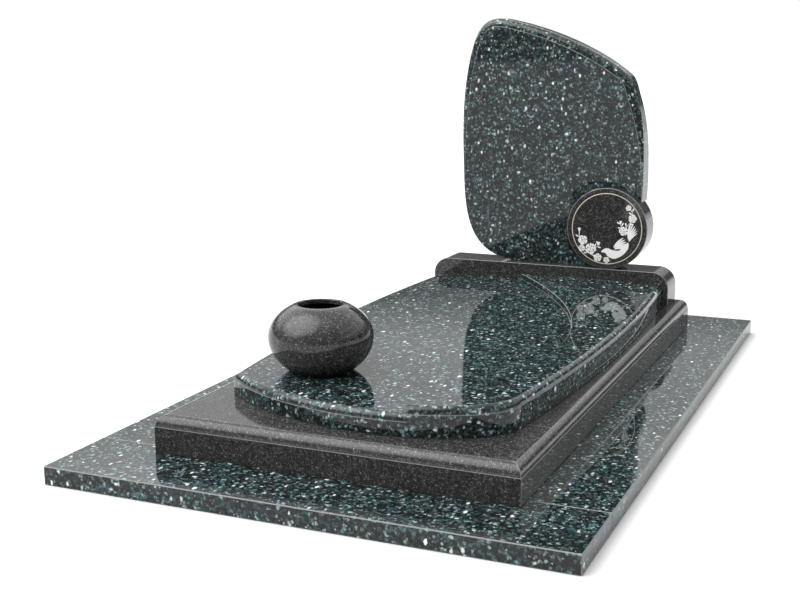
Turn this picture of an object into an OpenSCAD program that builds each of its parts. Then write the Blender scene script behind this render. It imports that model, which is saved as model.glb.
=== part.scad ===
// Grave monument: footing, base kerbs, stepped ledger slab, head block, free-form headstone,
// round ornament disc with a metal ring, and a hollow vase. Millimetres, +Y towards the headstone,
// +Z up, origin in the middle of the footing's underside.

/* [Base] */
// Width of the kerb base
base_w = 1000; // [850:10:1250]
// Length of the kerb base
base_l = 1950; // [1650:10:2400]
// Height of the kerbs
base_h = 100; // [80:5:150]
// Radius of the rounded top edge of the kerbs
kerb_round_r = 30; // [10:1:45]
// Front-to-back size of the front kerb
kerb_front_l = 300; // [260:5:400]
// Width of each side kerb
kerb_side_w = 150; // [120:5:200]
// Front-to-back size of the back kerb
kerb_back_l = 250; // [200:5:400]

/* [Footing] */
// Width of footing that shows around the base
footing_margin = 200; // [100:5:300]
// Thickness of the footing slabs
footing_h = 50; // [40:1:80]
// How far the front and back kerbs reach over the footing
footing_end_bearing = 50; // [30:5:120]
// How far the side kerbs reach over the footing
footing_side_bearing = 100; // [40:5:115]

/* [Slab] */
// Gap from the slab's widest place to the side of the base
slab_side_margin = 38; // [30:1:60]
// Gap from the slab's foremost place to the front of the base
slab_front_margin = 79; // [40:1:120]
// Thickness of the lower, left part of the slab
slab_low_h = 60; // [45:1:73]
// Thickness of the raised, right part of the slab
slab_high_h = 80; // [66:1:110]
// Radius of the rounded top edge of the slab
slab_round_r = 20; // [5:1:25]

/* [Head block] */
// Gap from the end of the head block to the side of the base
block_side_margin = 50; // [35:1:100]
// Front-to-back size of the head block
block_l = 135; // [115:1:180]
// Height of the head block
block_h = 120; // [90:1:200]
// Radius of the head block's rounded upper ends
block_round_r = 60; // [20:1:80]

/* [Headstone] */
// Width of the headstone
headstone_w = 695; // [570:5:840]
// Height of the headstone above the head block
headstone_h = 894; // [700:2:1100]
// Thickness of the headstone
headstone_t = 90; // [60:1:110]
// Radius of the headstone's rounded front edge, along its top
headstone_round_r = 28; // [5:1:40]
// Height above the head block at which the rounding begins
round_start_h = 230; // [160:5:350]
// Height above the head block from which the rounding is full
round_full_h = 655; // [500:5:720]

/* [Disc] */
// Diameter of the disc
disc_d = 295; // [240:1:360]
// Thickness of the disc
disc_t = 105; // [80:1:112]
// Distance from the middle of the monument to the middle of the disc
disc_x = 220; // [185:1:255]
// Chamfer on the disc's edges
disc_chamfer = 2; // [1:0.5:4]
// Diameter of the metal ring, along the middle of its band
ring_d = 256; // [200:1:280]
// Width of the metal ring's band
ring_w = 3; // [2:0.5:8]
// Depth to which the ring is let into the disc
ring_depth = 2; // [1:0.5:5]

/* [Vase] */
// Distance of the vase's middle to the left of the monument's middle
vase_x = 202; // [180:1:250]
// Distance from the front of the base to the middle of the vase
vase_y = 375; // [320:1:700]
// Height of the vase
vase_h = 185; // [155:1:230]
// Diameter of the vase's belly
vase_belly_d = 290; // [235:1:350]
// Height of the vase's widest place
vase_belly_h = 95; // [75:1:120]
// Diameter of the vase's flat foot
vase_foot_d = 160; // [120:1:200]
// Diameter of the vase's mouth
vase_mouth_d = 123; // [90:1:150]
// Width of the flat rim around the mouth
vase_rim_w = 11; // [6:1:20]
// Thickness of the vase's wall and floor
vase_wall = 15; // [8:1:20]

/* [Joints] */
// Open joint between stones that stand side by side
joint = 0.5; // [0.3:0.1:0.8]
// Play around the metal ring in its groove
ring_play = 0.1; // [0.05:0.05:0.2]
// Smallest arris left on a cut edge
arris = 1; // [0.5:0.5:2]

/* [Hidden] */

dark_green = "#2b3532";
brown_black = "#2e2926";
brass = "#c9a86a";

$fn = 96;
round_steps = 4;
side_steps = 14;
front_steps = 14;
step_steps = 28;
outline_steps = 9;
bite_steps = 26;
profile_steps = 14;
solve_steps = 30;
over = 10;

footing_w = base_w + 2 * footing_margin;
footing_l = base_l + 2 * footing_margin;
footing_end_l = footing_margin + footing_end_bearing;
footing_side_w = footing_margin + footing_side_bearing;
base_top = footing_h + base_h;

block_w = base_w - 2 * block_side_margin;
block_front = base_l / 2 - block_l;
block_top = base_top + block_h;

slab_back = block_front - joint;
slab_w = base_w - 2 * slab_side_margin;
slab_l = base_l - block_l - joint - slab_front_margin;

disc_r = disc_d / 2;
disc_z = block_top + disc_r;
ring_r = ring_d / 2;
bite_r = disc_r + joint;
bite_tip = 3;

vase_belly_r = vase_belly_d / 2;
vase_foot_r = vase_foot_d / 2;
vase_mouth_r = vase_mouth_d / 2;
vase_rim_r = vase_mouth_r + vase_rim_w;

// The slab's plan is drawn at this width and length and stretched to the slab's size.
// Drawn places are [right of the middle, behind the back edge].
DRAWN_SLAB = [924, 1735];
side_bow_r = 7200;
waist_y = -695;
left_corner_y = -1560;
right_corner_y = -1535;
front_handles = [[-85, -1840], [412, -1750]];
step_back_x = -100;
step_handles = [[255, -430], [550, -1025]];
step_front_x = 175;

// The headstone's front is drawn at this width and height and stretched to its size, clockwise
// from its lower left corner. Each row is a place [right of the monument's middle, above the head
// block], the outline's direction there in degrees, and its handle lengths before and after.
DRAWN_HEADSTONE = [695, 894];
HEADSTONE_ROWS = [
    [[-114, 0], 180, 0, 243],
    [[-353, 369], 94, 158, 153],
    [[-330, 772], 75, 141, 77],
    [[-191, 891], -11, 94, 164],
    [[260, 699], -38, 148, 32],
    [[299, 616], -71, 33, 70],
    [[334, 402], -88, 73, 149],
    [[308, 0], -98, 150, 0]];

function bezier(p, t) =
    pow(1 - t, 3) * p[0] + 3 * pow(1 - t, 2) * t * p[1] + 3 * (1 - t) * t * t * p[2] + t * t * t * p[3];
function smooth(t) = t * t * (3 - 2 * t);
function clamp(v, low, high) = min(high, max(low, v));
function unit(v) = v / norm(v);
function left_of(v) = [-v.y, v.x];
function heading(a) = [cos(a), sin(a)];
function stretch(p, ratio) = [p.x * ratio.x, p.y * ratio.y];
function reverse(list) = [for (i = [len(list) - 1:-1:0]) list[i]];
function quad(a, b, c, d) = [[a, b, c], [a, c, d]];

// Move that shifts a corner of an outline by one to its left, between the places before and after it.
function mitre(before, here, after) =
    let (n1 = left_of(unit(here - before)), n2 = left_of(unit(after - here)))
    (n1 + n2) / (1 + n1 * n2);

// Quarter-round edge: [share of the radius inwards, share of the radius outwards], from face to top.
function round_share(i) = [1 - cos(90 * i / round_steps), sin(90 * i / round_steps)];

/* Slab plan, from the back left corner round the front to the back right corner. */
slab_ratio = [slab_w / DRAWN_SLAB.x, slab_l / DRAWN_SLAB.y];
function side_x(y) = DRAWN_SLAB.x / 2 - side_bow_r + sqrt(pow(side_bow_r, 2) - pow(y - waist_y, 2));
left_corner = [-side_x(left_corner_y), left_corner_y];
right_corner = [side_x(right_corner_y), right_corner_y];
front_curve = [left_corner, front_handles[0], front_handles[1], right_corner];
function front_t(x, low = 0, high = 1, n = solve_steps) =
    let (mid = (low + high) / 2)
    n == 0 ? mid : bezier(front_curve, mid).x < x
        ? front_t(x, mid, high, n - 1)
        : front_t(x, low, mid, n - 1);
step_t = front_t(step_front_x);
drawn_plan = concat(
    [for (i = [0:side_steps - 1]) let (y = left_corner_y * i / side_steps) [-side_x(y), y]],
    [for (i = [0:front_steps - 1]) bezier(front_curve, step_t * i / front_steps)],
    [for (i = [0:front_steps - 1]) bezier(front_curve, step_t + (1 - step_t) * i / front_steps)],
    [for (i = [0:side_steps]) let (y = right_corner_y * (1 - i / side_steps)) [side_x(y), y]]);
slab_plan = [for (p = drawn_plan) stretch(p, slab_ratio)];
plan_last = len(slab_plan) - 1;
step_at = side_steps + front_steps;

// At the back edge the rounding runs straight out, so the two end places move along that edge.
function slab_inwards(i) =
    i == 0 ? [1 / left_of(unit(slab_plan[1] - slab_plan[0])).x, 0]
    : i == plan_last ? [1 / left_of(unit(slab_plan[i] - slab_plan[i - 1])).x, 0]
    : mitre(slab_plan[i - 1], slab_plan[i], slab_plan[i + 1]);

// Edge profile of a part of the slab: [distance inwards, height].
function slab_edge(h) = [for (i = [0:round_steps])
    [slab_round_r * round_share(i).x, h - slab_round_r + slab_round_r * round_share(i).y]];
low_edge = concat([[0, 0]], slab_edge(slab_low_h));
high_edge = concat([[0, 0]], slab_edge(slab_high_h));

// Footing pieces
module box(low, high) {
    translate(low) cube(high - low);
}

module footing_front() {
    color(dark_green)
    box([-footing_w / 2, -footing_l / 2, 0], [footing_w / 2, footing_end_l - footing_l / 2, footing_h]);
}

module footing_side() {
    color(dark_green)
    box([footing_w / 2 - footing_side_w, footing_end_l + joint - footing_l / 2, 0],
        [footing_w / 2, footing_l / 2, footing_h]);
}

module footing_left() {
    mirror([1, 0, 0]) footing_side();
}

module footing_right() {
    footing_side();
}

module footing_back() {
    half_w = footing_w / 2 - footing_side_w - joint;
    color(dark_green)
    box([-half_w, footing_l / 2 - footing_end_l, 0], [half_w, footing_l / 2, footing_h]);
}

// Base kerbs: a block with rounded front and side top edges, cut into four pieces
module half_profile(half_w, h, r) {
    square([half_w, h - r]);
    square([half_w - r, h]);
    translate([half_w - r, h - r]) circle(r);
}

module base_block() {
    intersection() {
        translate([0, base_l / 2, footing_h]) rotate([90, 0, 0])
        linear_extrude(base_l) {
            half_profile(base_w / 2, base_h, kerb_round_r);
            mirror([1, 0]) half_profile(base_w / 2, base_h, kerb_round_r);
        }
        translate([base_w / 2, base_l / 2, footing_h]) rotate([90, 0, -90])
        linear_extrude(base_w) half_profile(base_l, base_h, kerb_round_r);
    }
}

module kerb_zone(low, high) {
    color(brown_black)
    intersection() {
        base_block();
        box([low.x, low.y, footing_h], [high.x, high.y, base_top]);
    }
}

module kerb_front() {
    kerb_zone([-base_w / 2, -base_l / 2], [base_w / 2, kerb_front_l - base_l / 2]);
}

module kerb_side() {
    kerb_zone([base_w / 2 - kerb_side_w, kerb_front_l + joint - base_l / 2], [base_w / 2, base_l / 2]);
}

module kerb_left() {
    mirror([1, 0, 0]) kerb_side();
}

module kerb_right() {
    kerb_side();
}

module kerb_back() {
    half_w = base_w / 2 - kerb_side_w - joint;
    kerb_zone([-half_w, base_l / 2 - kerb_back_l], [half_w, base_l / 2]);
}

// Ledger slab in two levels, one solid. The step's wall follows a curve from the back edge to the
// front edge, where it is as high as the difference between the two edge profiles.
module slab() {
    rings = len(low_edge);
    top = rings - 1;
    high_from = rings * (step_at + 1);
    wall_from = high_from + rings * (plan_last - step_at + 1);
    function at(i, e) = let (p = slab_plan[i] + slab_inwards(i) * e.x) [p.x, p.y, e.y];
    function low(i, k) = i * rings + k;
    function high(i, k) = i == step_at && k == 0 ? low(i, k) : high_from + (i - step_at) * rings + k;

    step_end = at(step_at, low_edge[top]);
    step_curve = [
        stretch([step_back_x, 0], slab_ratio),
        stretch(step_handles[0], slab_ratio),
        stretch(step_handles[1], slab_ratio),
        [step_end.x, step_end.y]];
    wall = [for (i = [0:step_steps - 1]) bezier(step_curve, i / step_steps)];
    function wall_low(i) = i == step_steps ? low(step_at, top) : wall_from + 2 * i;
    function wall_high(i) = i == step_steps ? high(step_at, top) : wall_from + 2 * i + 1;

    points = concat(
        [for (i = [0:step_at], e = low_edge) at(i, e)],
        [for (i = [step_at:plan_last], e = high_edge) at(i, e)],
        [for (p = wall, h = [slab_low_h, slab_high_h]) [p.x, p.y, h]]);
    sides = concat(
        [for (i = [0:step_at - 1], k = [0:top - 1])
            each quad(low(i, k), low(i, k + 1), low(i + 1, k + 1), low(i + 1, k))],
        [for (i = [step_at:plan_last - 1], k = [0:top - 1]) if (i > step_at || k > 0)
            each quad(high(i, k), high(i, k + 1), high(i + 1, k + 1), high(i + 1, k))],
        [[low(step_at, 0), low(step_at, 1), high(step_at + 1, 0)]],
        quad(low(step_at, 1), high(step_at, 1), high(step_at + 1, 1), high(step_at + 1, 0)),
        [for (i = [0:step_steps - 1])
            each quad(wall_low(i), wall_high(i), wall_high(i + 1), wall_low(i + 1))]);
    underside = concat([for (i = [0:step_at]) low(i, 0)], [for (i = [step_at + 1:plan_last]) high(i, 0)]);
    low_face = concat([for (i = [0:step_at]) low(i, top)],
        [for (i = [step_steps - 1:-1:0]) wall_low(i)]);
    high_face = concat([for (i = [step_at:plan_last]) high(i, top)],
        [for (i = [0:step_steps - 1]) wall_high(i)]);
    back_face = concat([for (k = [0:top]) low(0, k)], [wall_low(0), wall_high(0)],
        [for (k = [top:-1:0]) high(plan_last, k)]);
    step_face = concat([for (k = [1:top]) low(step_at, k)], [for (k = [top:-1:1]) high(step_at, k)]);

    color(dark_green)
    translate([0, slab_back, base_top])
    polyhedron(points,
        concat(sides, [underside, reverse(low_face), reverse(high_face), reverse(back_face), step_face]));
}

// Head block, with rounded upper ends
module head_block() {
    color(brown_black)
    translate([0, base_l / 2, base_top]) rotate([90, 0, 0])
    linear_extrude(block_l) {
        half_profile(block_w / 2, block_h, block_round_r);
        mirror([1, 0]) half_profile(block_w / 2, block_h, block_round_r);
    }
}

/* Headstone outline, in the plane of its front: [right of the middle, above the head block]. */
headstone_ratio = [headstone_w / DRAWN_HEADSTONE.x, headstone_h / DRAWN_HEADSTONE.y];
function headstone_curve(i) =
    let (a = HEADSTONE_ROWS[i], b = HEADSTONE_ROWS[i + 1])
    [for (p = [a[0], a[0] + a[3] * heading(a[1]), b[0] - b[2] * heading(b[1]), b[0]])
        stretch(p, headstone_ratio)];
last_curve = len(HEADSTONE_ROWS) - 2;
disc_middle = [disc_x, disc_r];
function bite_t(low = 0, high = 1, n = solve_steps) =
    let (mid = (low + high) / 2)
    n == 0 ? mid : norm(bezier(headstone_curve(last_curve), mid) - disc_middle) > bite_r
        ? bite_t(mid, high, n - 1)
        : bite_t(low, mid, n - 1);
bite_from = bezier(headstone_curve(last_curve), bite_t());
bite_start_a = atan2(bite_from.y - disc_middle.y, bite_from.x - disc_middle.x);
bite_end_a = 180 + asin((disc_r - bite_tip) / bite_r);
headstone_outline = concat(
    [for (i = [0:last_curve - 1], k = [0:outline_steps - 1])
        bezier(headstone_curve(i), k / outline_steps)],
    [for (k = [0:outline_steps - 1]) bezier(headstone_curve(last_curve), bite_t() * k / outline_steps)],
    [for (k = [0:bite_steps])
        disc_middle + bite_r * heading(bite_start_a + (bite_end_a - bite_start_a) * k / bite_steps)],
    [[(disc_middle + bite_r * heading(bite_end_a)).x, 0]]);
bite_at = (last_curve + 1) * outline_steps;

// The front edge is rounded along the top and upper sides, and fades to a plain arris below.
function headstone_edge_r(i) =
    i == 0 || i >= bite_at ? arris
    : arris + (headstone_round_r - arris)
        * smooth(clamp((headstone_outline[i].y - round_start_h) / (round_full_h - round_start_h), 0, 1));

module headstone() {
    count = len(headstone_outline);
    rings = round_steps + 2;
    front_y = base_l / 2 - headstone_t;
    function inwards(i) = -mitre(headstone_outline[(i + count - 1) % count], headstone_outline[i],
        headstone_outline[(i + 1) % count]);
    function at(i, k) =
        k == 0 ? [headstone_outline[i].x, base_l / 2, headstone_outline[i].y]
        : let (r = headstone_edge_r(i), s = round_share(k - 1), p = headstone_outline[i] + inwards(i) * r * s.x)
            [p.x, front_y + r * (1 - s.y), p.y];
    function index(i, k) = (i % count) * rings + k;
    points = [for (i = [0:count - 1], k = [0:rings - 1]) at(i, k)];
    sides = [for (i = [0:count - 1], k = [0:rings - 2])
        each quad(index(i, k), index(i + 1, k), index(i + 1, k + 1), index(i, k + 1))];
    back_face = [for (i = [0:count - 1]) index(i, 0)];
    front_face = [for (i = [0:count - 1]) index(i, rings - 1)];

    color(dark_green)
    translate([0, 0, block_top])
    polyhedron(points, concat(sides, [reverse(back_face), front_face]));
}

// Disc that stands on the head block in the headstone's round cut-out
module disc() {
    color(brown_black)
    translate([disc_x, block_front, disc_z]) rotate([-90, 0, 0])
    difference() {
        rotate_extrude() polygon([
            [0, 0], [disc_r - disc_chamfer, 0], [disc_r, disc_chamfer],
            [disc_r, disc_t - disc_chamfer], [disc_r - disc_chamfer, disc_t], [0, disc_t]]);
        translate([0, 0, -over]) difference() {
            cylinder(r = ring_r + ring_w / 2 + ring_play, h = over + ring_depth);
            cylinder(r = ring_r - ring_w / 2 - ring_play, h = over + ring_depth);
        }
    }
}

// Metal ring let into the disc's face
module disc_ring() {
    color(brass)
    translate([disc_x, block_front, disc_z]) rotate([-90, 0, 0])
    difference() {
        cylinder(r = ring_r + ring_w / 2, h = ring_depth);
        translate([0, 0, -over]) cylinder(r = ring_r - ring_w / 2, h = 2 * over + ring_depth);
    }
}

// Vase: two half ellipses meet at the belly, and the hollow follows them inside the wall
function half_depth(reach, r, belly_r) = reach / sqrt(1 - pow(r / belly_r, 2));
function ellipse_r(z, depth, belly_r) = belly_r * sqrt(1 - pow(z / depth, 2));
function ellipse_z(r, depth, belly_r) = depth * sqrt(1 - pow(r / belly_r, 2));
low_depth = half_depth(vase_belly_h, vase_foot_r, vase_belly_r);
high_depth = half_depth(vase_h - vase_belly_h, vase_rim_r, vase_belly_r);

// One side of the vase's profile, from z_from to z_to, with the given wall taken off
function vase_curve(z_from, z_to, wall) = [for (i = [0:profile_steps])
    let (z = z_from + (z_to - z_from) * sin(90 * i / profile_steps), d = z - vase_belly_h)
    [ellipse_r(d, (d < 0 ? low_depth : high_depth) - wall, vase_belly_r - wall), z]];

module vase() {
    neck_z = vase_belly_h + ellipse_z(vase_mouth_r, high_depth - vase_wall, vase_belly_r - vase_wall);
    outside = concat(
        reverse(vase_curve(vase_belly_h, 0, 0)),
        vase_curve(vase_belly_h, vase_h, 0));
    inside = concat(
        reverse(vase_curve(vase_belly_h, vase_wall, vase_wall)),
        vase_curve(vase_belly_h, neck_z, vase_wall));
    color(brown_black)
    translate([-vase_x, vase_y - base_l / 2, base_top + slab_low_h])
    difference() {
        rotate_extrude() polygon(concat([[0, 0]], outside, [[0, vase_h]]));
        rotate_extrude() polygon(concat([[0, vase_wall]], inside, [[0, neck_z]]));
        translate([0, 0, vase_belly_h]) cylinder(r = vase_mouth_r, h = vase_h);
    }
}

footing_front();
footing_left();
footing_right();
footing_back();
kerb_front();
kerb_left();
kerb_right();
kerb_back();
slab();
head_block();
headstone();
disc();
disc_ring();
vase();
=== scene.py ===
import math
import random

import bmesh
import bpy
from mathutils import Matrix, Vector


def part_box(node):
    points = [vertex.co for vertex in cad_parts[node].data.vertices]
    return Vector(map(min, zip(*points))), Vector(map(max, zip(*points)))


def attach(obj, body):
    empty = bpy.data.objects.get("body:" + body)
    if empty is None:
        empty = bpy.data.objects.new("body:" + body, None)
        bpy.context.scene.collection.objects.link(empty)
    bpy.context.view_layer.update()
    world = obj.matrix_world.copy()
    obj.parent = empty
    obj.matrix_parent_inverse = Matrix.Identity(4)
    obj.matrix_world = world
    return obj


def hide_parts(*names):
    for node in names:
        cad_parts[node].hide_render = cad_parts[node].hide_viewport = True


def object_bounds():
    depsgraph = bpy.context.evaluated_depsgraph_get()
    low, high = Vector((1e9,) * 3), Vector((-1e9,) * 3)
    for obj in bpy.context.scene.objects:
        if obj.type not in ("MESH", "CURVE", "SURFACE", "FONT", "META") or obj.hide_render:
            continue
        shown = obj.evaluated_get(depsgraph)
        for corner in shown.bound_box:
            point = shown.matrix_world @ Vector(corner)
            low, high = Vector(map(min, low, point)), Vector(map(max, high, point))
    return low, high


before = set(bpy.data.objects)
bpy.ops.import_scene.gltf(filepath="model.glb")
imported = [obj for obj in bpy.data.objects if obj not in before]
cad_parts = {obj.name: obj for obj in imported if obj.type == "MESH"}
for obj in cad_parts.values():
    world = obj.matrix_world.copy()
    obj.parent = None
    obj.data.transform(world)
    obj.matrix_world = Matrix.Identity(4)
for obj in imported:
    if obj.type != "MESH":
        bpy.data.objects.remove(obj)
cad_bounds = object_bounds()

# How strongly and in which pale tone the arrises get a painted highlight, and how rough the arrises are
ARRIS_HIGHLIGHT_SHARE = 0.75
ARRIS_HIGHLIGHT_TONE = (0.21, 0.22, 0.22)
ARRIS_ROUGH = 0.45
# Fine details that only the looks need, in metres
ARRIS = 0.0018
FOOTING_ARRIS = 0.0025
LEDGE = 0.0016
SAME_POINT = 2e-6
FLOOR_Z = cad_bounds[0].z


# ---------------------------------------------------------------- curves and outlines

def bezier(p, t):
    """Point of a cubic curve through four control points."""
    s = 1 - t
    return p[0] * s ** 3 + p[1] * 3 * s * s * t + p[2] * 3 * s * t * t + p[3] * t ** 3


def heading(degrees):
    """Unit vector at an angle from the first axis."""
    a = math.radians(degrees)
    return Vector((math.cos(a), math.sin(a)))


def left_of(v):
    """A quarter turn to the left."""
    return Vector((-v.y, v.x))


def smooth(t):
    """0 to 1 with flat ends."""
    t = min(1.0, max(0.0, t))
    return t * t * (3 - 2 * t)


def mitres(path, closed=True):
    """For each place of an outline, the move that shifts its two sides by one to their left."""
    count = len(path)
    moves = []
    for i, here in enumerate(path):
        before = path[(i - 1) % count] if closed or i > 0 else None
        after = path[(i + 1) % count] if closed or i < count - 1 else None
        n1 = left_of((here - before).normalized()) if before is not None else None
        n2 = left_of((after - here).normalized()) if after is not None else None
        n1, n2 = n1 or n2, n2 or n1
        moves.append((n1 + n2) / (1 + n1.dot(n2)))
    return moves


def circle_arc(middle, radius, start, end, steps):
    """Points of an arc, from one angle to another, in degrees."""
    return [middle + heading(start + (end - start) * i / steps) * radius for i in range(steps + 1)]


def bulge(points, steps=6):
    """A smooth closed outline through a few points."""
    count = len(points)
    result = []
    for i in range(count):
        a, b, c, d = (points[(i + k) % count] for k in (-1, 0, 1, 2))
        for s in range(steps):
            result.append(bezier([b, b + (c - a) / 6, c - (d - b) / 6, c], s / steps))
    return result


# ---------------------------------------------------------------- meshes

def piece(name, points, faces, stone, nodes, sharp=32):
    """A stone: a mesh that stands for its CAD nodes. A face is (corners, is an arris); arrises are dull and
    painted paler as a highlight, not polished. Flat faces are shaded flat and roundings smooth."""
    mesh = bpy.data.meshes.new(name)
    mesh.from_pydata([tuple(p) for p in points], [], [f for f, _ in faces])
    polished_material, highlit_arris_material, slot = stone
    mesh.materials.append(polished_material)
    mesh.materials.append(highlit_arris_material)
    mesh.polygons.foreach_set("material_index", [int(mark) for _, mark in faces])
    form = bmesh.new()
    form.from_mesh(mesh)
    bmesh.ops.remove_doubles(form, verts=form.verts, dist=SAME_POINT)
    bmesh.ops.delete(form, geom=[v for v in form.verts if not v.link_edges], context="VERTS")
    bmesh.ops.recalc_face_normals(form, faces=form.faces)
    form.to_mesh(mesh)
    form.free()
    mesh.polygons.foreach_set("use_smooth", [True] * len(mesh.polygons))
    mesh.set_sharp_from_angle(angle=math.radians(sharp))
    obj = bpy.data.objects.new(name, mesh)
    bpy.context.scene.collection.objects.link(obj)
    normals = obj.modifiers.new("flat_faces", "WEIGHTED_NORMAL")
    normals.keep_sharp = True
    normals.weight = 100
    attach(obj, "root")
    if nodes:
        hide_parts(*nodes)
    return obj


def loft(rings, wrap=False, rows=(), columns=()):
    """Points and faces of a skin over closed rings that all have the same number of points. The
    listed rows, between two rings, and columns, between two points, are arrises."""
    count = len(rings[0])
    total = len(rings)
    rows = {r % total for r in rows}
    points = [p for ring in rings for p in ring]
    faces = []
    for r in range(total if wrap else total - 1):
        a, b = r * count, ((r + 1) % total) * count
        for i in range(count):
            j = (i + 1) % count
            faces.append(((a + i, a + j, b + j, b + i), r in rows or i in columns))
    if not wrap:
        faces.append((tuple(reversed(range(count))), False))
        faces.append((tuple((total - 1) * count + i for i in range(count)), False))
    return points, faces


def extruded(profile, place, start, end, arris, columns=()):
    """A profile pushed from start to end, with a small chamfer round both of its end faces.
    place(u, v, w) gives the point for a profile place (u, v) at the distance w."""
    moves = mitres(profile)
    small = [p + m * arris for p, m in zip(profile, moves)]
    step = arris if end > start else -arris
    rings = [(small, start), (profile, start + step), (profile, end - step), (small, end)]
    return loft([[place(p.x, p.y, w) for p in ring] for ring, w in rings], rows=(0, 2), columns=columns)


def block(name, low, high, stone, node, arris):
    """A rectangular stone with a small chamfer on every edge."""
    corners = [low.xy, Vector((high.x, low.y)), high.xy, Vector((low.x, high.y))]
    profile = []
    for i, here in enumerate(corners):
        for other in (corners[i - 1], corners[(i + 1) % 4]):
            profile.append(here + (other - here).normalized() * arris)
    points, faces = extruded(profile, lambda u, v, w: (u, v, w), low.z, high.z, arris, (0, 2, 4, 6))
    return piece(name, points, faces, stone, [node])


# Rows of rounded_edge's profile that are arrises
EDGE_ARRISES = (0, 2, 3)


def rounded_edge(radius, height, steps=12):
    """Profile of a stone's side [inwards, up]: bottom chamfer, side, chamfer, ledge, quarter round."""
    foot = height - radius
    rows = [Vector((ARRIS, 0)), Vector((0, ARRIS)), Vector((0, foot - LEDGE)), Vector((LEDGE / 2, foot))]
    quarter = radius - LEDGE
    for i in range(steps + 1):
        a = math.pi / 2 * i / steps
        rows.append(Vector((LEDGE + quarter * (1 - math.cos(a)), foot + radius * math.sin(a))))
    return rows


# ---------------------------------------------------------------- materials

def nodes_of(name):
    material = bpy.data.materials.new(name)
    material.use_nodes = True
    return material, material.node_tree.nodes, material.node_tree.links


def math_node(nodes, links, operation, a, b=None, clamp=False):
    """A Math node whose inputs are sockets or numbers; returns its output."""
    node = nodes.new("ShaderNodeMath")
    node.operation = operation
    node.use_clamp = clamp
    for socket, value in zip(node.inputs, (a, b)):
        if isinstance(value, (int, float)):
            socket.default_value = value
        elif value is not None:
            links.new(value, socket)
    return node.outputs[0]


def ramp(nodes, links, source, stops):
    """A colour ramp over a socket; stops are (position, colour)."""
    node = nodes.new("ShaderNodeValToRGB")
    elements = node.color_ramp.elements
    while len(elements) < len(stops):
        elements.new(0.5)
    for element, (position, colour) in zip(elements, stops):
        element.position = position
        element.color = (*colour, 1)
    links.new(source, node.inputs[0])
    return node.outputs[0]


def crystal_space(nodes, links, warp_scale, warp_size):
    """Coordinates on the object, moved along for each piece and bent a little by noise."""
    where = nodes.new("ShaderNodeTexCoord")
    info = nodes.new("ShaderNodeObjectInfo")
    away = math_node(nodes, links, "MULTIPLY", info.outputs["Random"], 37.0)
    moved = nodes.new("ShaderNodeVectorMath")
    links.new(where.outputs["Object"], moved.inputs[0])
    links.new(away, moved.inputs[1])
    noise = nodes.new("ShaderNodeTexNoise")
    noise.inputs["Scale"].default_value = warp_scale
    noise.inputs["Detail"].default_value = 2
    links.new(moved.outputs[0], noise.inputs["Vector"])
    bend = nodes.new("ShaderNodeVectorMath")
    bend.operation = "MULTIPLY_ADD"
    links.new(noise.outputs["Color"], bend.inputs[0])
    bend.inputs[1].default_value = (warp_size,) * 3
    links.new(moved.outputs[0], bend.inputs[2])
    return moved.outputs[0], bend.outputs[0]


def voronoi(nodes, links, vector, scale, stretch=(1, 1, 1), turn=(0, 0, 0)):
    """Random crystal cells; returns (distance from the cell's middle, the cell's random colour)."""
    mapping = nodes.new("ShaderNodeMapping")
    mapping.inputs["Scale"].default_value = stretch
    mapping.inputs["Rotation"].default_value = turn
    links.new(vector, mapping.inputs["Vector"])
    cells = nodes.new("ShaderNodeTexVoronoi")
    cells.inputs["Scale"].default_value = scale
    links.new(mapping.outputs[0], cells.inputs["Vector"])
    return cells.outputs["Distance"], cells.outputs["Color"]


def channel(nodes, links, colour, name):
    split = nodes.new("ShaderNodeSeparateColor")
    links.new(colour, split.inputs[0])
    return split.outputs[name]


def mix(nodes, links, mode, amount, a, b):
    """Mixes two colours; amount and b may be sockets or plain values."""
    node = nodes.new("ShaderNodeMix")
    node.data_type = "RGBA"
    node.blend_type = mode
    for socket, value in ((node.inputs[0], amount), (node.inputs[6], a), (node.inputs[7], b)):
        if isinstance(value, (int, float)):
            socket.default_value = value
        elif isinstance(value, tuple):
            socket.default_value = (*value, 1)
        else:
            links.new(value, socket)
    return node.outputs[2]


def flecks(nodes, links, vector, scale, size, share, stretch, turn):
    """Bright scattered crystals: a mask that is 1 inside them, for a share of the cells."""
    distance, colour = voronoi(nodes, links, vector, scale, stretch, turn)
    picked = channel(nodes, links, colour, "Red")
    spread = channel(nodes, links, colour, "Green")
    reach = math_node(nodes, links, "MULTIPLY_ADD", spread, size * 0.6)
    reach.node.inputs[2].default_value = size * 0.4
    inside = math_node(nodes, links, "SUBTRACT", reach, distance)
    edge = math_node(nodes, links, "MULTIPLY", inside, 9.0, clamp=True)
    chosen = math_node(nodes, links, "LESS_THAN", picked, share)
    return math_node(nodes, links, "MULTIPLY", edge, chosen), channel(nodes, links, colour, "Blue")


def polished(material, nodes, links, colour, roughness):
    """Polished stone: clear reflections over the coloured crystals."""
    shader = nodes["Principled BSDF"]
    links.new(colour, shader.inputs["Base Color"])
    links.new(roughness, shader.inputs["Roughness"])
    shader.inputs["IOR"].default_value = 1.43
    return material


def finish(material, nodes, links, colour, roughness, highlit_arris):
    """Polished stone, or an arris, which is dull and painted paler as a highlight."""
    if highlit_arris:
        # Painted highlight: the arris colour is pulled towards a pale grey that stands in for light caught on the
        # edge
        colour = mix(nodes, links, "MIX", ARRIS_HIGHLIGHT_SHARE, colour, ARRIS_HIGHLIGHT_TONE)
        roughness = math_node(nodes, links, "ADD", roughness, ARRIS_ROUGH)
    return polished(material, nodes, links, colour, roughness)


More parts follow.
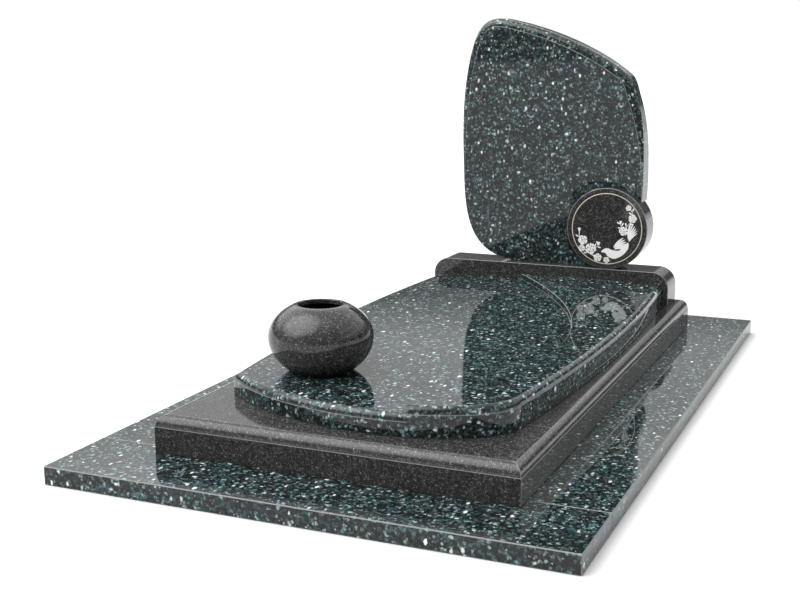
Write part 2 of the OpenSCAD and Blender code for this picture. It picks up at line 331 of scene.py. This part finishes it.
def large_grain_granite(name, highlit_arris=False):
    """Dark grey granite with grey-green crystals and scattered small white flecks."""
    material, nodes, links = nodes_of(name)
    plain, bent = crystal_space(nodes, links, 200, 0.006)
    _, big = voronoi(nodes, links, bent, 135)
    _, small = voronoi(nodes, links, bent, 330)
    big_pick = channel(nodes, links, big, "Red")
    small_pick = channel(nodes, links, small, "Green")
    colour = ramp(nodes, links, big_pick, [
        (0.00, (0.004, 0.005, 0.005)), (0.35, (0.009, 0.011, 0.011)), (0.62, (0.018, 0.026, 0.027)),
        (0.84, (0.036, 0.062, 0.066)), (0.95, (0.080, 0.128, 0.134)), (1.00, (0.20, 0.28, 0.29))])
    grit = ramp(nodes, links, small_pick, [
        (0.00, (0.45, 0.45, 0.45)), (0.55, (0.85, 0.86, 0.86)), (0.85, (1.30, 1.34, 1.34)), (1.00, (2.4, 2.5, 2.5))])
    colour = mix(nodes, links, "MULTIPLY", 0.85, colour, grit)
    cloud = nodes.new("ShaderNodeTexNoise")
    cloud.inputs["Scale"].default_value = 16
    cloud.inputs["Detail"].default_value = 3
    links.new(plain, cloud.inputs["Vector"])
    tint = ramp(nodes, links, cloud.outputs["Fac"], [
        (0.30, (1.18, 0.98, 0.94)), (0.50, (1.0, 1.0, 1.0)), (0.70, (0.85, 1.10, 1.12))])
    colour = mix(nodes, links, "MULTIPLY", 0.9, colour, tint)
    layers = [
        (95, 0.42, 0.34, (1.0, 0.62, 0.8), (0.5, 0.3, 0.6), (0.26, 0.34, 0.35)),
        (62, 0.30, 0.36, (0.6, 1.0, 0.9), (0.2, 0.9, 0.4), (0.62, 0.74, 0.75)),
        (50, 0.27, 0.55, (1.0, 0.5, 0.6), (0.8, 0.1, 1.1), (1.0, 1.0, 1.0))]
    for scale, size, share, stretch, turn, bright in layers:
        mask, fade = flecks(nodes, links, bent, scale, size, share, stretch, turn)
        strength = math_node(nodes, links, "MULTIPLY_ADD", fade, 0.7)
        strength.node.inputs[2].default_value = 0.3
        colour = mix(nodes, links, "MIX", math_node(nodes, links, "MULTIPLY", mask, strength), colour, bright)
    roughness = math_node(nodes, links, "MULTIPLY_ADD", big_pick, 0.03)
    roughness.node.inputs[2].default_value = 0.02
    return finish(material, nodes, links, colour, roughness, highlit_arris)


def fine_granite(name, highlit_arris=False):
    """Brown-black granite with tiny pale specks."""
    material, nodes, links = nodes_of(name)
    _, bent = crystal_space(nodes, links, 500, 0.002)
    _, cells = voronoi(nodes, links, bent, 420)
    pick = channel(nodes, links, cells, "Red")
    colour = ramp(nodes, links, pick, [
        (0.00, (0.020, 0.0198, 0.0196)), (0.60, (0.029, 0.0287, 0.0285)),
        (0.88, (0.046, 0.0455, 0.045)), (1.00, (0.17, 0.167, 0.165))])
    _, mid = voronoi(nodes, links, bent, 150)
    dapple = ramp(nodes, links, channel(nodes, links, mid, "Blue"), [
        (0.0, (0.65, 0.65, 0.65)), (0.6, (1.0, 0.98, 0.97)), (1.0, (1.7, 1.65, 1.62))])
    colour = mix(nodes, links, "MULTIPLY", 0.9, colour, dapple)
    mask, fade = flecks(nodes, links, bent, 125, 0.20, 0.30, (1, 0.8, 0.9), (0.4, 0.2, 0.7))
    strength = math_node(nodes, links, "MULTIPLY", mask, fade)
    colour = mix(nodes, links, "MIX", strength, colour, (0.20, 0.19, 0.185))
    roughness = math_node(nodes, links, "MULTIPLY_ADD", pick, 0.03)
    roughness.node.inputs[2].default_value = 0.025
    return finish(material, nodes, links, colour, roughness, highlit_arris)


def carved_white(name):
    """Sand-carved figures, left white and matt."""
    material, nodes, links = nodes_of(name)
    plain, _ = crystal_space(nodes, links, 300, 0.002)
    grain = nodes.new("ShaderNodeTexNoise")
    grain.inputs["Scale"].default_value = 700
    grain.inputs["Detail"].default_value = 3
    links.new(plain, grain.inputs["Vector"])
    colour = ramp(nodes, links, grain.outputs["Fac"], [
        (0.25, (0.62, 0.62, 0.61)), (0.55, (0.88, 0.88, 0.87)), (0.80, (0.98, 0.98, 0.97))])
    links.new(colour, nodes["Principled BSDF"].inputs["Base Color"])
    bump = nodes.new("ShaderNodeBump")
    bump.inputs["Strength"].default_value = 0.25
    bump.inputs["Distance"].default_value = 0.0004
    links.new(grain.outputs["Fac"], bump.inputs["Height"])
    links.new(bump.outputs[0], nodes["Principled BSDF"].inputs["Normal"])
    nodes["Principled BSDF"].inputs["Roughness"].default_value = 0.8
    return material


def ring_metal(name):
    """Pale polished brass with fine turning marks."""
    material, nodes, links = nodes_of(name)
    plain, _ = crystal_space(nodes, links, 60, 0.001)
    noise = nodes.new("ShaderNodeTexNoise")
    noise.inputs["Scale"].default_value = 900
    links.new(plain, noise.inputs["Vector"])
    colour = ramp(nodes, links, noise.outputs["Fac"], [
        (0.3, (0.84, 0.76, 0.58)), (0.7, (0.98, 0.93, 0.78))])
    shader = nodes["Principled BSDF"]
    links.new(colour, shader.inputs["Base Color"])
    shader.inputs["Metallic"].default_value = 1.0
    rough = math_node(nodes, links, "MULTIPLY_ADD", noise.outputs["Fac"], 0.15)
    rough.node.inputs[2].default_value = 0.42
    links.new(rough, shader.inputs["Roughness"])
    return material


# Each stone: its polished material, its arris material (dull, with a painted highlight) and its finish's slot
LARGE = (large_grain_granite("large_grain_granite"), large_grain_granite("large_grain_granite_highlit_arris", True),
         "large_grain_granite")
CARVED = (carved_white("carved_white"),) * 2 + ("fine_granite",)
FINE = (fine_granite("fine_granite"), fine_granite("fine_granite_highlit_arris", True), "fine_granite")
METAL = (ring_metal("ring_metal"),) * 2 + ("ring_metal",)


# ---------------------------------------------------------------- footing and kerbs

def make_footing():
    """The four flat slabs that lie round the base."""
    for node in ("footing_front", "footing_left", "footing_right", "footing_back"):
        low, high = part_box(node)
        block(node + "_stone", low, high, LARGE, node, FOOTING_ARRIS)


kerb_low, kerb_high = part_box("kerb_front")
KERB_RADIUS = 0.030


def make_front_kerb():
    """Front kerb: its rounding runs along the front and turns both front corners with a mitre."""
    left, right, front, back = kerb_low.x, kerb_high.x, kerb_low.y, kerb_high.y
    path = [Vector((left, back)), Vector((left, front + ARRIS)), Vector((left + ARRIS, front)),
            Vector((right - ARRIS, front)), Vector((right, front + ARRIS)), Vector((right, back))]
    # Both points of a corner's small chamfer move along the corner's mitre
    moves = [Vector(m) for m in ((1, 0), (1, 1), (1, 1), (-1, 1), (-1, 1), (-1, 0))]
    rings = []
    for row in rounded_edge(KERB_RADIUS, kerb_high.z - kerb_low.z):
        inset = [p + m * row.x for p, m in zip(path, moves)]
        rings.append([(p.x, p.y, kerb_low.z + row.y) for p in inset])
    points, faces = loft(rings, rows=EDGE_ARRISES, columns=(1, 3))
    return piece("kerb_front_stone", points, faces, FINE, ["kerb_front"])


def make_side_kerb(node, side):
    """Side kerb: a straight stone with its outer top edge rounded."""
    low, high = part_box(node)
    width, height = high.x - low.x, high.z - low.z
    edge = rounded_edge(KERB_RADIUS, height)
    profile = edge + [Vector((width - ARRIS, height)), Vector((width, height - ARRIS)),
                      Vector((width, ARRIS)), Vector((width - ARRIS, 0))]
    outer = high.x if side > 0 else low.x
    rings = []
    inset = [p + m * ARRIS for p, m in zip(profile, [-m for m in mitres(profile)])]
    for ring, y in ((inset, low.y), (profile, low.y + ARRIS), (profile, high.y - ARRIS), (inset, high.y)):
        rings.append([(outer - side * p.x, y, low.z + p.y) for p in ring])
    last = len(edge)
    points, faces = loft(rings, rows=(0, 2), columns=EDGE_ARRISES + (last, last + 2))
    return piece(node + "_stone", points, faces, FINE, [node])


def make_kerbs():
    make_front_kerb()
    make_side_kerb("kerb_left", -1)
    make_side_kerb("kerb_right", 1)
    low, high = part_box("kerb_back")
    block("kerb_back_stone", low, high, FINE, "kerb_back", ARRIS)


# ---------------------------------------------------------------- ledger slab

slab_low, slab_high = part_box("slab")
SLAB_RADIUS = 0.020
LOW_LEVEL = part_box("vase")[0].z - slab_low.z
HIGH_LEVEL = slab_high.z - slab_low.z
# Drawn plan of the slab, as in the construction: [right of the middle, behind the back edge]
DRAWN_SLAB = Vector((0.924, 1.735))
SIDE_BOW = 7.2
WAIST_Y = -0.695
LEFT_CORNER_Y = -1.560
RIGHT_CORNER_Y = -1.535
FRONT_HANDLES = [Vector((-0.085, -1.840)), Vector((0.412, -1.750))]
STEP_BACK_X = -0.100
STEP_HANDLES = [Vector((0.255, -0.430)), Vector((0.550, -1.025))]
STEP_FRONT_X = 0.175


def side_x(y):
    """Half width of the drawn slab at a distance from its back edge."""
    return DRAWN_SLAB.x / 2 - SIDE_BOW + math.sqrt(SIDE_BOW ** 2 - (y - WAIST_Y) ** 2)


def find(function, target, low=0.0, high=1.0):
    """Where a rising function reaches the target, by halving."""
    for _ in range(40):
        mid = (low + high) / 2
        low, high = (mid, high) if function(mid) < target else (low, mid)
    return (low + high) / 2


def slab_plan(side_steps=40, front_steps=44):
    """The slab's outline from the back left corner round the front to the back right corner."""
    corners = [Vector((-side_x(LEFT_CORNER_Y), LEFT_CORNER_Y)), Vector((side_x(RIGHT_CORNER_Y), RIGHT_CORNER_Y))]
    front = [corners[0], *FRONT_HANDLES, corners[1]]
    step_t = find(lambda t: bezier(front, t).x, STEP_FRONT_X)
    path = []
    for i in range(side_steps):
        y = LEFT_CORNER_Y * i / side_steps
        path.append(Vector((-side_x(y), y)))
    path += [bezier(front, step_t * i / front_steps) for i in range(front_steps)]
    path += [bezier(front, step_t + (1 - step_t) * i / front_steps) for i in range(front_steps)]
    for i in range(side_steps + 1):
        y = RIGHT_CORNER_Y * (1 - i / side_steps)
        path.append(Vector((side_x(y), y)))
    ratio = Vector(((slab_high.x - slab_low.x) / DRAWN_SLAB.x, (slab_high.y - slab_low.y) / DRAWN_SLAB.y))
    return [p * ratio for p in path], side_steps + front_steps, ratio


def make_slab():
    """The ledger slab: two levels with rounded edges, and a curved step between them."""
    path, step_at, ratio = slab_plan()
    corners = [i for i in range(1, len(path) - 1)
               if (path[i] - path[i - 1]).angle(path[i + 1] - path[i]) > math.radians(20)]
    moves = mitres(path, closed=False)
    for i in reversed(corners):
        here, before, after = path[i], path[i - 1], path[i + 1]
        path[i:i + 1] = [here + (before - here).normalized() * ARRIS, here + (after - here).normalized() * ARRIS]
        moves.insert(i, moves[i])
    step_at += sum(i < step_at for i in corners)
    cut_sides = [i + k for k, i in enumerate(corners)]
    last = len(path) - 1
    for end in (0, last):
        moves[end] = Vector((1 / moves[end].x, 0))
    low_edge = rounded_edge(SLAB_RADIUS, LOW_LEVEL)
    high_edge = rounded_edge(SLAB_RADIUS, HIGH_LEVEL)
    top = len(low_edge) - 1
    points = []

    def add(p, z):
        points.append((p.x, slab_high.y + p.y, slab_low.z + z))
        return len(points) - 1

    low = [[add(path[i] + moves[i] * e.x, e.y) for e in low_edge] for i in range(step_at + 1)]
    high = {i: [add(path[i] + moves[i] * e.x, e.y) for e in high_edge] for i in range(step_at, last + 1)}
    high[step_at][:2] = low[step_at][:2]
    end = path[step_at] + moves[step_at] * low_edge[top].x
    curve = [Vector((STEP_BACK_X, 0)) * ratio, *[h * ratio for h in STEP_HANDLES], end]
    steps = 96
    wall = [bezier(curve, i / steps) for i in range(steps + 1)]
    sides = mitres(wall, closed=False)
    sides[0] = Vector((1 / sides[0].x, 0))
    joint = [add(p - m * ARRIS, LOW_LEVEL) for p, m in zip(wall[:-1], sides)] + [low[step_at][top]]
    foot = [add(p, LOW_LEVEL) for p in wall[:-1]] + [low[step_at][top]]
    arris = [add(p, HIGH_LEVEL - ARRIS) for p in wall[:-1]] + [high[step_at][top]]
    edge = [add(p + m * ARRIS, HIGH_LEVEL) for p, m in zip(wall[:-1], sides)] + [high[step_at][top]]

    faces = []
    for rows, first, after in ((low, 0, step_at), (high, step_at, last)):
        for i in range(first, after):
            for k in range(top):
                if rows is high and i == step_at and k == 1:
                    continue
                mark = k in EDGE_ARRISES or i in cut_sides
                faces.append(((rows[i][k], rows[i + 1][k], rows[i + 1][k + 1], rows[i][k + 1]), mark))
    beside = high[step_at + 1]
    faces.append(((low[step_at][1], beside[1], beside[2], high[step_at][2], low[step_at][2]), False))
    for i in range(steps):
        faces.append(((foot[i + 1], arris[i + 1], arris[i], foot[i]), False))
        for outer, inner in ((foot, joint), (arris, edge)):
            faces.append((tuple(dict.fromkeys((outer[i + 1], inner[i + 1], inner[i], outer[i]))), True))
    flat = [[row[0] for row in low] + [high[i][0] for i in range(step_at + 1, last + 1)],
            [row[top] for row in low] + joint[-2::-1],
            [high[i][top] for i in range(step_at, last + 1)] + edge[:-1],
            low[0] + [joint[0], foot[0], arris[0], edge[0]] + high[last][::-1],
            low[step_at][2:] + high[step_at][:1:-1]]
    faces += [(tuple(f), False) for f in flat]
    return piece("slab_stone", points, faces, LARGE, ["slab"])


# ---------------------------------------------------------------- head block

block_low, block_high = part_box("head_block")
BLOCK_RADIUS = 0.060


def make_head_block():
    """Block across the head end, its upper ends rounded."""
    left, right, height = block_low.x, block_high.x, block_high.z - block_low.z
    r = BLOCK_RADIUS
    profile = [Vector((left, ARRIS)), Vector((left + ARRIS, 0)), Vector((right - ARRIS, 0)), Vector((right, ARRIS))]
    profile += circle_arc(Vector((right - r, height - r)), r, 0, 90, 20)
    profile += circle_arc(Vector((left + r, height - r)), r, 90, 180, 20)

    def place(u, v, w):
        return (u, w, block_low.z + v)

    points, faces = extruded(profile, place, block_low.y, block_high.y, ARRIS, (0, 2))
    return piece("head_block_stone", points, faces, FINE, ["head_block"])


# ---------------------------------------------------------------- headstone

stone_low, stone_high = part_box("headstone")
disc_low, disc_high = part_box("disc")
DISC_RADIUS = (disc_high.z - disc_low.z) / 2
DISC_MIDDLE = Vector(((disc_low.x + disc_high.x) / 2, DISC_RADIUS))
DRAWN_HEIGHT = 0.894
# Each row: place [right of the middle, above the head block], direction there in degrees, and the
# curve's handle lengths before and after the place, as in the construction
HEADSTONE_ROWS = [
    ((-0.114, 0.0), 180, 0.0, 0.243),
    ((-0.353, 0.369), 94, 0.158, 0.153),
    ((-0.330, 0.772), 75, 0.141, 0.077),
    ((-0.191, 0.891), -11, 0.094, 0.164),
    ((0.260, 0.699), -38, 0.148, 0.032),
    ((0.299, 0.616), -71, 0.033, 0.070),
    ((0.334, 0.402), -88, 0.073, 0.149),
    ((0.308, 0.0), -98, 0.150, 0.0)]
ROUND_RADIUS = 0.028
ROUND_START = 0.230
ROUND_FULL = 0.655
BITE_GAP = 0.0005
BITE_TIP = 0.003


def headstone_outline(steps=22):
    """The outline clockwise from the lower left, with the round cut-out for the disc; and where that starts."""
    ratio = Vector((1, (stone_high.z - stone_low.z) / DRAWN_HEIGHT))
    curves = []
    for a, b in zip(HEADSTONE_ROWS, HEADSTONE_ROWS[1:]):
        start, end = Vector(a[0]), Vector(b[0])
        control = [start, start + heading(a[1]) * a[3], end - heading(b[1]) * b[2], end]
        curves.append([p * ratio for p in control])
    bite = DISC_RADIUS + BITE_GAP
    stop = find(lambda t: bite - (bezier(curves[-1], t) - DISC_MIDDLE).length, 0.0)
    outline = []
    for curve in curves[:-1]:
        outline += [bezier(curve, i / steps) for i in range(steps)]
    outline += [bezier(curves[-1], stop * i / steps) for i in range(steps)]
    bite_at = len(outline)
    to = bezier(curves[-1], stop) - DISC_MIDDLE
    first = math.degrees(math.atan2(to.y, to.x))
    tip = 180 + math.degrees(math.asin((DISC_RADIUS - BITE_TIP) / bite))
    outline += circle_arc(DISC_MIDDLE, bite, first, tip, 90)
    outline.append(Vector((outline[-1].x, 0)))
    top = stone_high.z - stone_low.z
    return [Vector((p.x, min(p.y, top))) for p in outline], bite_at


def make_headstone():
    """The upright stone. Its front edge is rounded along the top and fades to a small arris below."""
    outline, bite_at = headstone_outline()
    moves = [-m for m in mitres(outline)]
    front, back = stone_low.y, stone_high.y
    radii = []
    for i, p in enumerate(outline):
        share = smooth((p.y - ROUND_START) / (ROUND_FULL - ROUND_START))
        radii.append(0 if i == 0 or i >= bite_at else ROUND_RADIUS * share)
    steps = 14

    def ring(row):
        return [(p.x, y, stone_low.z + p.y) for p, y in row]

    rings = [ring([(p + m * ARRIS, back) for p, m in zip(outline, moves)]),
             ring([(p, back - ARRIS) for p in outline])]
    for k in range(steps + 1):
        a = math.pi / 2 * k / steps
        rings.append(ring([
            (p + m * r * (1 - math.cos(a)), front + ARRIS + r * (1 - math.sin(a)))
            for p, m, r in zip(outline, moves, radii)]))
    rings.append(ring([(p + m * (r + ARRIS), front) for p, m, r in zip(outline, moves, radii)]))
    points, faces = loft(rings, rows=(0, -2))
    return piece("headstone_stone", points, faces, LARGE, ["headstone"])


# ---------------------------------------------------------------- disc and ring

def turned(profile, middle, axis, segments):
    """Rings of a body of revolution; the profile is [radius, along the axis]."""
    rings = []
    for row in profile:
        ring = []
        for i in range(segments):
            a = 2 * math.pi * i / segments
            if axis == "Z":
                ring.append((middle.x + row.x * math.cos(a), middle.y + row.x * math.sin(a), middle.z + row.y))
            else:
                ring.append((middle.x + row.x * math.cos(a), middle.y + row.y, middle.z - row.x * math.sin(a)))
        rings.append(ring)
    return rings


ring_low, ring_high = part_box("disc_ring")
DISC_FACE = Vector((DISC_MIDDLE.x, disc_low.y, disc_low.z + DISC_RADIUS))
RING_OUTER = (ring_high.z - ring_low.z) / 2
RING_WIDTH = 0.003
RING_DEPTH = ring_high.y - ring_low.y


def make_disc():
    """Round stone with a chamfered rim and a groove for the ring."""
    thick = disc_high.y - disc_low.y
    r, c, gap = DISC_RADIUS, 0.002, 0.0001
    outer, inner = RING_OUTER + gap, RING_OUTER - RING_WIDTH - gap
    profile = [(inner, 0.0), (inner, RING_DEPTH), (outer, RING_DEPTH), (outer, 0.0),
               (r - c, 0.0), (r, c), (r, thick - c), (r - c, thick)]
    points, faces = loft(turned([Vector(p) for p in profile], DISC_FACE, "Y", 192), rows=(4, 6))
    return piece("disc_stone", points, faces, FINE, ["disc"])


def make_ring():
    """Thin metal band let into the disc's face, slightly crowned."""
    outer, inner = RING_OUTER, RING_OUTER - RING_WIDTH
    crown = 0.0004
    profile = [(outer, RING_DEPTH), (inner, RING_DEPTH), (inner, crown), (inner + 0.0008, 0.0),
               (outer - 0.0008, 0.0), (outer, crown)]
    points, faces = loft(turned([Vector(p) for p in profile], DISC_FACE, "Y", 192), wrap=True)
    return piece("disc_ring_band", points, faces, METAL, ["disc_ring"])


# ---------------------------------------------------------------- carved picture

# The picture's unit is the ring's radius; places are [right, up] from its middle
RELIEF = 0.0006
# A dove at rest, seen from the left: body, wing feathers and tail feathers
DOVE_BODY = [(-0.14, -0.67), (-0.05, -0.58), (0.07, -0.56), (0.17, -0.60), (0.40, -0.60), (0.62, -0.36),
             (0.64, -0.52), (0.50, -0.72), (0.26, -0.85), (0.07, -0.80), (-0.02, -0.70)]
WING_ROOT = (0.14, -0.58)
TAIL_ROOT = (0.60, -0.40)
# Roses: [right, up, size]; buds the same
ROSES = [(-0.69, -0.36, 0.14), (-0.45, -0.60, 0.16), (-0.72, -0.60, 0.10), (-0.24, -0.84, 0.12), (0.02, -0.90, 0.09),
         (0.49, -0.04, 0.13), (0.74, 0.33, 0.12), (0.62, 0.63, 0.08)]
BUDS = [(-0.80, -0.07, 0.07), (-0.22, -0.45, 0.07), (0.40, 0.20, 0.06)]
# Stems, each a curve through four control points
STEMS = [
    [(-0.24, -0.84), (-0.60, -0.75), (-0.85, -0.45), (-0.80, -0.07)],
    [(-0.45, -0.60), (-0.30, -0.56), (-0.24, -0.52), (-0.22, -0.45)],
    [(0.49, -0.04), (0.56, 0.10), (0.70, 0.20), (0.74, 0.33)],
    [(0.74, 0.33), (0.76, 0.45), (0.72, 0.55), (0.62, 0.63)],
    [(0.49, -0.04), (0.44, 0.05), (0.40, 0.10), (0.40, 0.20)]]
STEM_WIDTH = 0.020
# Leaves of a stem: [place along it, side]
LEAVES = [(0.3, 1), (0.55, -1), (0.8, 1)]


def pointed(start, end, width, curl=0.0):
    """A leaf, petal or feather from start to end."""
    start, end = Vector(start), Vector(end)
    along = end - start
    side = left_of(along)
    row = [(0.0, 0.10), (0.35, 0.45), (0.70, 0.50), (0.95, 0.20)]
    shape = [start + along * a + side * (b * width + curl * a * (1 - a)) for a, b in row]
    shape += [start + along * a + side * (curl * a * (1 - a) - b * width) for a, b in reversed(row)]
    return bulge(shape, 4)


def rose(middle, size, seeded):
    """Three wreaths of petals round a small heart."""
    shapes = []
    turn = seeded.uniform(0, 360)
    for count, inner, outer in ((5, 0.62, 1.0), (4, 0.34, 0.60), (3, 0.12, 0.32)):
        turn += 180 / count
        for k in range(count):
            half = 180 / count * 0.86
            a = turn + 360 / count * k
            row = [(inner, -half * 0.9), (outer * 0.92, -half), (outer, -half * 0.3), (outer * 0.96, half * 0.5),
                   (outer * 0.88, half), (inner, half * 0.9), (inner * 1.08, 0)]
            shapes.append(bulge([middle + heading(a + b) * size * r for r, b in row], 3))
    return shapes


def strip(curve, width, steps=14):
    """A thin band along a curve, tapered at its end."""
    line = [bezier([Vector(p) for p in curve], i / steps) for i in range(steps + 1)]
    moves = mitres(line, closed=False)
    half = [width * (1 - 0.6 * i / steps) / 2 for i in range(steps + 1)]
    return ([p + m * h for p, m, h in zip(line, moves, half)] +
            [p - m * h for p, m, h in reversed(list(zip(line, moves, half)))])


def feathers(root, directions, length, width):
    """A fan of feathers from one root; directions and lengths run from first to last."""
    shapes = []
    for k in range(6):
        share = k / 5
        way = heading(directions[0] + (directions[1] - directions[0]) * share)
        reach = length[0] + (length[1] - length[0]) * share
        shapes.append(pointed(Vector(root) + way * reach * 0.22, Vector(root) + way * reach, width, 0.25))
    return shapes


def make_carving():
    """A dove among roses: every figure is a low, closed relief with sloping sides."""
    seeded = random.Random(4)
    shapes = [strip(stem, STEM_WIDTH) for stem in STEMS]
    for stem in STEMS:
        for t, side in LEAVES:
            at = bezier([Vector(p) for p in stem], t)
            ahead = bezier([Vector(p) for p in stem], t + 0.05) - at
            way = (ahead.normalized() + left_of(ahead.normalized()) * side * 1.2).normalized()
            shapes.append(pointed(at + way * 0.02, at + way * 0.13, 0.34))
    for u, v, size in ROSES:
        shapes += rose(Vector((u, v)), size, seeded)
    for u, v, size in BUDS:
        middle = Vector((u, v))
        for way in (heading(66), heading(114)):
            shapes.append(pointed(middle - way * size * 0.6, middle + way * size, 0.5))
    shapes.append(bulge([Vector(p) for p in DOVE_BODY], 5))
    shapes += feathers(WING_ROOT, (4, 44), (0.52, 0.50), 0.105)
    shapes += feathers(TAIL_ROOT, (48, 80), (0.44, 0.66), 0.085)
    unit = RING_OUTER - RING_WIDTH
    points, faces = [], []
    for number, shape in enumerate(shapes):
        # What comes later lies over what comes before
        height = RELIEF * (0.6 + 0.6 * number / len(shapes))
        if sum(a.cross(b) for a, b in zip(shape, shape[1:] + shape[:1])) < 0:
            shape = shape[::-1]
        middle = sum(shape, Vector((0, 0))) / len(shape)
        rings = []
        for share, out in ((1.0, 0.0), (1.0, 0.5), (0.93, 1.0)):
            flat = [(middle + (p - middle) * share) * unit for p in shape]
            rings.append([(DISC_FACE.x + p.x, DISC_FACE.y - height * out, DISC_FACE.z + p.y) for p in flat])
        more, sides = loft(rings)
        faces += [(tuple(i + len(points) for i in f), mark) for f, mark in sides]
        points += more
    return piece("disc_carving", points, faces, CARVED, [])


# ---------------------------------------------------------------- vase

vase_low, vase_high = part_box("vase")
VASE_RADIUS = (vase_high.x - vase_low.x) / 2
VASE_HEIGHT = vase_high.z - vase_low.z
VASE_MIDDLE = Vector(((vase_low.x + vase_high.x) / 2, (vase_low.y + vase_high.y) / 2, vase_low.z))
BELLY_Z = 0.095
FOOT_RADIUS = 0.080
MOUTH_RADIUS = 0.0615
RIM_WIDTH = 0.011
WALL = 0.015


def make_vase():
    """Hollow bowl: two half ellipses outside, the same inside the wall, and a short straight mouth."""
    def half_depth(reach, r):
        return reach / math.sqrt(1 - (r / VASE_RADIUS) ** 2)

    low_depth = half_depth(BELLY_Z, FOOT_RADIUS)
    high_depth = half_depth(VASE_HEIGHT - BELLY_Z, MOUTH_RADIUS + RIM_WIDTH)

    def side(z_from, z_to, wall, steps):
        rows = []
        for i in range(steps + 1):
            z = z_from + (z_to - z_from) * i / steps
            d = z - BELLY_Z
            depth = (low_depth if d < 0 else high_depth) - wall
            rows.append(Vector(((VASE_RADIUS - wall) * math.sqrt(1 - (d / depth) ** 2), z)))
        return rows

    neck = BELLY_Z + (high_depth - WALL) * math.sqrt(1 - (MOUTH_RADIUS / (VASE_RADIUS - WALL)) ** 2)
    c = 0.0015
    profile = [Vector((FOOT_RADIUS - c, 0))] + side(c, VASE_HEIGHT - c, 0, 60)
    profile += [Vector((MOUTH_RADIUS + RIM_WIDTH - 2 * c, VASE_HEIGHT)), Vector((MOUTH_RADIUS + c, VASE_HEIGHT)),
                Vector((MOUTH_RADIUS, VASE_HEIGHT - c))]
    profile += side(neck, WALL, WALL, 40)
    points, faces = loft(turned(profile, VASE_MIDDLE, "Z", 128))
    return piece("vase_bowl", points, faces, FINE, ["vase"], sharp=28)


make_footing()
make_kerbs()
make_slab()
make_head_block()
make_headstone()
make_disc()
make_ring()
make_carving()
make_vase()


# ---------------------------------------------------------------- studio

def make_floor():
    """Plain pale floor."""
    size = 40.0
    mesh = bpy.data.meshes.new("floor")
    corners = [(size * x, size * y, FLOOR_Z) for x, y in ((-1, -1), (1, -1), (1, 1), (-1, 1))]
    mesh.from_pydata(corners, [], [(0, 1, 2, 3)])
    material, nodes, links = nodes_of("pale_floor")
    shader = nodes["Principled BSDF"]
    shader.inputs["Base Color"].default_value = (0.70, 0.70, 0.70, 1)
    shader.inputs["Roughness"].default_value = 0.9
    shader.inputs["Specular IOR Level"].default_value = 0.1
    mesh.materials.append(material)
    floor = bpy.data.objects.new("floor", mesh)
    bpy.context.scene.collection.objects.link(floor)


def greys(*stops):
    """Stops of a grey ramp, from pairs of place and brightness."""
    return [(place, (value, value, value)) for place, value in stops]


def make_surroundings():
    """Soft studio all round: pale grey behind the viewer, a low dark wall behind the stone, brighter
    overhead, and brightest at the front left."""
    world = bpy.data.worlds.new("studio")
    bpy.context.scene.world = world
    world.use_nodes = True
    nodes, links = world.node_tree.nodes, world.node_tree.links
    where = nodes.new("ShaderNodeTexCoord")
    split = nodes.new("ShaderNodeSeparateXYZ")
    links.new(where.outputs["Generated"], split.inputs[0])
    east, north, height = (split.outputs[name] for name in "XYZ")
    wall = ramp(nodes, links, height, greys(
        (0.000, 1.05), (0.040, 0.90), (0.075, 0.12), (0.205, 0.17),
        (0.240, 0.70), (0.300, 0.80), (0.360, 1.50), (1.000, 1.50)))
    front = ramp(nodes, links, height, greys((0.00, 0.42), (0.30, 0.45), (0.70, 0.70), (1.00, 1.50)))
    facing = math_node(nodes, links, "MULTIPLY_ADD", north, -2.5, clamp=True)
    facing.node.inputs[2].default_value = 0.3
    colour = mix(nodes, links, "MIX", facing, wall, front)
    # Darker to the right, brighter to the left
    across = math_node(nodes, links, "MULTIPLY_ADD", east, -0.28)
    across.node.inputs[2].default_value = 1.0
    colour = mix(nodes, links, "MULTIPLY", 1.0, colour, across)
    # Soft bright patch at the front left
    patch = nodes.new("ShaderNodeVectorMath")
    patch.operation = "DOT_PRODUCT"
    links.new(where.outputs["Generated"], patch.inputs[0])
    patch.inputs[1].default_value = Vector((-0.45, -0.35, 0.80)).normalized()
    glow = ramp(nodes, links, patch.outputs["Value"], greys((0.79, 0.0), (0.91, 3.4), (1.00, 4.6)))
    colour = mix(nodes, links, "ADD", 1.0, colour, glow)
    # The room itself looks white
    path = nodes.new("ShaderNodeLightPath")
    colour = mix(nodes, links, "MIX", path.outputs["Is Camera Ray"], colour, (1.0, 1.0, 1.0))
    links.new(colour, nodes["Background"].inputs["Color"])
    nodes["Background"].inputs["Strength"].default_value = 1.0


# Camera: lens, eye, turn to the left, pitch down, and a slight roll in radians
LENS_MM, SENSOR_MM = 56.44, 36.0
EYE = (1.336, -3.569, 1.120)
TURN_DEGREES, PITCH_DEGREES, ROLL = -23.67, 12.10, -0.00466


def make_camera():
    """Camera at a standing viewer's eye, in front and to the right."""
    data = bpy.data.cameras.new("camera")
    data.lens = LENS_MM
    data.sensor_width = SENSOR_MM
    camera = bpy.data.objects.new("camera", data)
    turn, pitch = math.radians(TURN_DEGREES), math.radians(PITCH_DEGREES)
    forward = Vector((math.sin(turn) * math.cos(pitch), math.cos(turn) * math.cos(pitch), -math.sin(pitch)))
    right = Vector((math.cos(turn), -math.sin(turn), 0))
    up = right.cross(forward)
    c, s = math.cos(ROLL), math.sin(ROLL)
    right, up = right * c + up * s, up * c - right * s
    camera.matrix_world = Matrix((right, up, -forward)).transposed().to_4x4()
    camera.location = EYE
    bpy.context.scene.collection.objects.link(camera)
    bpy.context.scene.camera = camera


make_floor()
make_surroundings()
make_camera()
bpy.context.scene.view_settings.view_transform = "Standard"
